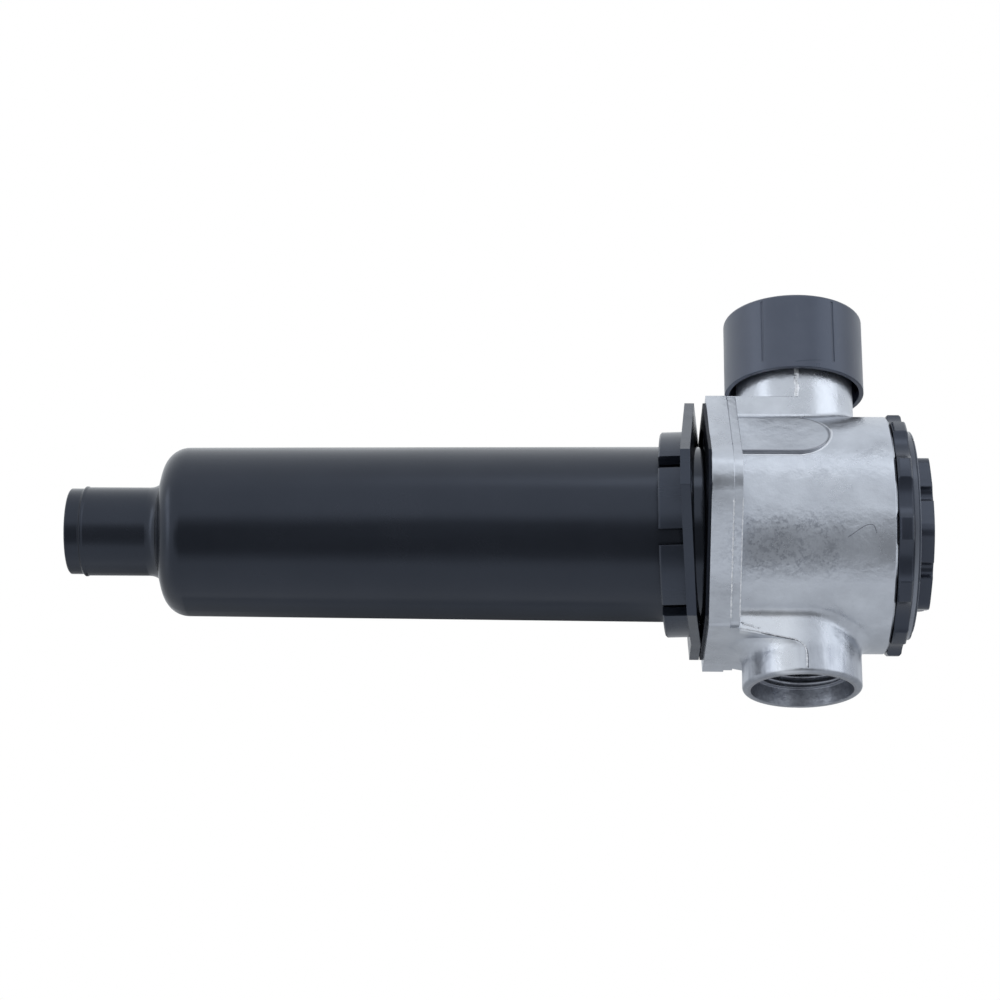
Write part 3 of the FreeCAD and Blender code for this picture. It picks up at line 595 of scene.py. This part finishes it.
def make_details():
    flash_and_highlight = flash_and_highlight_aluminium()
    scratch_and_shadow = scratch_and_shadow_grey()
    # pale plastic for the cover's lip: a painted highlight
    lip_highlight = satin_black("cover_lip_highlight", (0.085, 0.095, 0.120), 0.24, 0.8)
    side = 21.02
    shade_shift = 0.38
    port_line = [
        (42.9, -side, 10.7), (44.2, -side, 17.8), (45.7, -side, 24.7), (46.9, -side, 30.2),
        (48.7, -side, 32.6), (50.6, -side, 33.5), (52.8, -side, 33.7), (56.9, -side + 0.1, 33.7),
    ]
    rows = [
        ("port_flash", 0.30, 0.35, 1.0, port_line),
        ("neck_flash", 1.15, 0.06, 2.0, [
            (-57.8, -20.45, 32.8), (-54.0, -20.55, 33.1), (-51.5, -20.4, 32.7), (-48.5, -20.5, 33.1),
            (-46.5, -20.5, 32.7), (-44.8, -20.4, 32.8),
        ]),
        ("web_crease", 0.40, 0.5, 1.6, [
            (40.6, -20.85, 11.4), (41.5, -20.85, 12.8), (41.9, -20.85, 14.6), (42.7, -20.8, 16.4),
            (42.8, -20.75, 18.4),
        ]),
        # the pale bead along the flange's top edge is a painted highlight
        ("flange_edge_highlight", 0.27, 0.12, 0.4,
         flank_line((6.64, -58.71), (43.0, -25.2), 1000.0 * flange_thick)),
        ("parting_flash", 0.30, 0.7, 1.3, flank_line((7.08, -59.12), (43.6, -25.2), 7.5)),
    ]
    for name, radius, wobble, seed, points in rows:
        bead(name, points, radius, wobble, flash_and_highlight, "head", seed)
    curl = [body_point(*place) for place in (
        (-0.6, 47.2), (0.9, 49.4), (2.6, 51.8), (3.8, 54.2), (3.7, 55.9), (2.6, 56.6), (0.9, 57.1),
    )]
    bead("body_scratch", curl, 0.13, 0.5, scratch_and_shadow, "head", 0.9)
    # painted shadow: a dark bead beside the port's flash
    shade_line = [(x + shade_shift, y, z + shade_shift) for x, y, z in port_line[1:]]
    bead("port_shade", shade_line, 0.20, 0.3, scratch_and_shadow, "head", 0.2)
    # a rounded lip on the cover's upper step, in plastic paler than the cover: a painted highlight
    lip_line = []
    for step in range(lip_steps + 1):
        turn = 2 * math.pi * step / lip_steps
        lip_line.append((lip_radius * math.cos(turn), lip_radius * math.sin(turn), lip_height))
    bead("cover_lip_highlight", lip_line, 0.34, 0.0, lip_highlight, "cover", 0.0, 4)
    helix_ridge("port_thread", 15.17, -0.62, 2.309, 39.2, 51.9, 0.95, port_height * 1000.0,
                finishes["head"], "head")


make_details()


# Camera: the axis lies across the picture, with the threaded port turned towards the viewer
def make_camera():
    focal = 2600.0
    reach = 0.936
    foot_height = -0.04446
    foot_right = 80.0
    foot_up = -34.0
    tilt = -0.005
    toward_seen = Vector((-foot_right, -foot_up, focal)).normalized()
    along_seen = Vector((1.0, tilt, 0.0))
    along_seen.z = -(along_seen.x * toward_seen.x + along_seen.y * toward_seen.y) / toward_seen.z
    along_seen.normalize()
    world = Matrix((toward_viewer, picture_right, toward_viewer.cross(picture_right))).transposed()
    seen = Matrix((toward_seen, along_seen, toward_seen.cross(along_seen))).transposed()
    turn = world @ seen.transposed()
    data = bpy.data.cameras.new("camera")
    data.sensor_width = 36.0
    data.lens = focal / 1000.0 * 36.0
    data.clip_start = 0.01
    data.clip_end = 50.0
    camera = bpy.data.objects.new("camera", data)
    bpy.context.scene.collection.objects.link(camera)
    place = Vector((0.0, 0.0, foot_height)) + toward_viewer * reach
    camera.matrix_world = Matrix.Translation(place) @ turn.to_4x4()
    bpy.context.scene.camera = camera


# White surroundings, greyer on the side where the viewer stands
def make_world():
    world = bpy.data.worlds.new("surroundings")
    bpy.context.scene.world = world
    world.use_nodes = True
    nodes = world.node_tree.nodes
    links = world.node_tree.links
    nodes.clear()
    path = nodes.new("ShaderNodeLightPath")
    seen = nodes.new("ShaderNodeBackground")
    seen.inputs["Color"].default_value = (1.0, 1.0, 1.0, 1.0)
    mirrored = nodes.new("ShaderNodeBackground")
    soft = nodes.new("ShaderNodeBackground")
    soft.inputs["Color"].default_value = (0.96, 0.98, 1.0, 1.0)
    soft.inputs["Strength"].default_value = 0.34
    # the room as the photographed surfaces mirror it: a dark patch round the viewer, a paler
    # ring about it with brighter screens right, left and above, dark behind and below
    coords = nodes.new("ShaderNodeTexCoord")

    def along(direction):
        node = nodes.new("ShaderNodeVectorMath")
        node.operation = "DOT_PRODUCT"
        node.inputs[1].default_value = direction
        links.new(coords.outputs["Generated"], node.inputs[0])
        return node.outputs["Value"]

    def span(value, low, high, out_low, out_high):
        node = nodes.new("ShaderNodeMapRange")
        node.interpolation_type = "SMOOTHSTEP"
        node.inputs["From Min"].default_value = low
        node.inputs["From Max"].default_value = high
        node.inputs["To Min"].default_value = out_low
        node.inputs["To Max"].default_value = out_high
        links.new(value, node.inputs["Value"])
        return node.outputs["Result"]

    def mixed(share, first, second):
        node = nodes.new("ShaderNodeMix")
        links.new(share, node.inputs["Factor"])
        links.new(first, node.inputs["A"])
        links.new(second, node.inputs["B"])
        return node.outputs["Result"]

    def plus(first, second):
        node = nodes.new("ShaderNodeMath")
        node.operation = "ADD"
        links.new(first, node.inputs[0])
        links.new(second, node.inputs[1])
        return node.outputs[0]

    def times(first, second):
        node = nodes.new("ShaderNodeMath")
        node.operation = "MULTIPLY"
        links.new(first, node.inputs[0])
        links.new(second, node.inputs[1])
        return node.outputs[0]

    def towards(near, up, right):
        return along((toward_viewer * near + picture_up * up + picture_right * right).normalized())

    toward = along(toward_viewer)
    upward = along(picture_up)
    ring = span(upward, -0.35, 0.35, 0.74, 0.95)
    patch = span(towards(0.99, -0.14, 0.0), 0.81, 0.965, 0.0, 1.0)
    dark = span(upward, -0.5, 0.5, 0.22, 0.26)
    front = mixed(patch, ring, dark)
    behind = span(upward, -0.5, 0.4, 0.55, 1.0)
    base = mixed(span(toward, -0.6, -0.05, 0.0, 1.0), behind, front)
    for place, low, high, strength in (
        ((0.27, 0.50, 0.82), 0.87, 0.965, 0.8),
        ((0.28, 0.94, 0.12), 0.978, 0.997, 0.85),
    ):
        base = plus(base, span(towards(*place), low, high, 0.0, strength))
    # a tall narrow screen on the left
    across = along(-picture_right)
    screen = times(span(across, 0.72, 0.82, 0.0, 1.0), span(across, 0.87, 0.95, 1.0, 0.0))
    screen = times(screen, span(toward, -0.15, 0.15, 0.0, 1.0))
    screen = times(screen, span(upward, -0.5, 0.3, 0.25, 1.1))
    base = plus(base, screen)
    links.new(base, mirrored.inputs["Strength"])
    mirrored.inputs["Color"].default_value = (0.93, 0.965, 1.0, 1.0)
    either = nodes.new("ShaderNodeMath")
    either.operation = "MAXIMUM"
    links.new(path.outputs["Is Glossy Ray"], either.inputs[0])
    links.new(path.outputs["Is Transmission Ray"], either.inputs[1])
    first = nodes.new("ShaderNodeMixShader")
    links.new(either.outputs[0], first.inputs["Fac"])
    links.new(soft.outputs[0], first.inputs[1])
    links.new(mirrored.outputs[0], first.inputs[2])
    second = nodes.new("ShaderNodeMixShader")
    links.new(path.outputs["Is Camera Ray"], second.inputs["Fac"])
    links.new(first.outputs[0], second.inputs[1])
    links.new(seen.outputs[0], second.inputs[2])
    out = nodes.new("ShaderNodeOutputWorld")
    links.new(second.outputs[0], out.inputs["Surface"])


# Floor: white, with the filter's shadow only near it
def make_floor():
    build = bmesh.new()
    bmesh.ops.create_grid(build, x_segments=1, y_segments=1, size=8.0)
    bmesh.ops.translate(build, verts=build.verts, vec=(0.0, 0.0, -0.30))
    finish = Finish("floor_white", (0.82, 0.82, 0.82), 0.9)
    finish.shader.inputs["Specular IOR Level"].default_value = 0.0
    far = finish.span(finish.from_axis(), 0.05, 0.19, 0.55, 1.0)
    path = finish.nodes.new("ShaderNodeLightPath")
    seen = finish.math("MAXIMUM", path.outputs["Is Camera Ray"], path.outputs["Is Glossy Ray"])
    share = finish.times(seen, far)
    glow = finish.nodes.new("ShaderNodeEmission")
    glow.inputs["Strength"].default_value = 1.0
    mix = finish.nodes.new("ShaderNodeMixShader")
    finish.link(share, mix.inputs["Fac"])
    finish.link(finish.shader.outputs[0], mix.inputs[1])
    finish.link(glow.outputs[0], mix.inputs[2])
    finish.link(mix.outputs[0], finish.nodes["Material Output"].inputs["Surface"])
    floor = new_object("floor", build, finish.material)
    floor.visible_glossy = False


# The shadow that the filter throws on the table behind it, which its lower side mirrors
def make_shadow_card():
    build = bmesh.new()
    corners = []
    for height, rise in ((-0.32, -0.035), (-0.012, -0.035), (-0.012, -0.45), (-0.32, -0.45)):
        place = Vector((0.0, 0.0, height)) + picture_up * rise - toward_viewer * 0.055
        corners.append(build.verts.new(place))
    build.faces.new(corners)
    finish = Finish("shadow_grey", (0.0, 0.0, 0.0), 0.9)
    finish.shader.inputs["Specular IOR Level"].default_value = 0.0
    finish.shader.inputs["Emission Color"].default_value = (0.80, 0.88, 1.0, 1.0)
    strength = finish.span(finish.along(picture_up), -0.045, -0.18, 0.06, 0.42)
    finish.link(strength, finish.shader.inputs["Emission Strength"])
    # rays that run along the filter pass through it, so only the side of the bowl mirrors it
    seen = finish.nodes.new("ShaderNodeNewGeometry")
    slant = finish.nodes.new("ShaderNodeVectorMath")
    slant.operation = "DOT_PRODUCT"
    slant.inputs[1].default_value = (0.0, 0.0, 1.0)
    finish.link(seen.outputs["Incoming"], slant.inputs[0])
    clear = finish.nodes.new("ShaderNodeBsdfTransparent")
    mix = finish.nodes.new("ShaderNodeMixShader")
    finish.link(finish.span(finish.math("ABSOLUTE", slant.outputs["Value"]), 0.10, 0.30), mix.inputs["Fac"])
    finish.link(finish.shader.outputs[0], mix.inputs[1])
    finish.link(clear.outputs[0], mix.inputs[2])
    finish.link(mix.outputs[0], finish.nodes["Material Output"].inputs["Surface"])
    card = new_object("shadow_card", build, finish.material)
    card.visible_camera = False
    card.visible_diffuse = False
    card.visible_shadow = False


# Soft boxes
lamp_aim_height = -0.04


def soft_box(name, place, size, power):
    data = bpy.data.lights.new(name, "AREA")
    data.shape = "RECTANGLE"
    data.size, data.size_y = size
    data.energy = power
    light = bpy.data.objects.new(name, data)
    aim = Vector((0.0, 0.0, lamp_aim_height))
    light.rotation_euler = (aim - place).to_track_quat("-Z", "Y").to_euler()
    light.location = place
    bpy.context.scene.collection.objects.link(light)
    light.visible_glossy = False


def from_picture(right, up, near):
    """A place given as the photograph shows it: right along the axis, up and towards the viewer."""
    return Vector((0.0, 0.0, lamp_aim_height + right)) + picture_up * up + toward_viewer * near


make_camera()
make_world()
make_floor()
make_shadow_card()
soft_box("upper_box", from_picture(0.2, 0.9, 0.55), (1.1, 0.5), 3.4)
soft_box("front_box", from_picture(-0.5, 0.25, 1.1), (0.8, 0.8), 1.0)
soft_box("lower_box", from_picture(0.1, -0.9, 0.5), (1.0, 0.4), 1.3)
soft_box("far_box", from_picture(0.7, 0.3, -0.6), (0.7, 0.7), 1.6)

scene = bpy.context.scene
scene.view_settings.view_transform = "Standard"
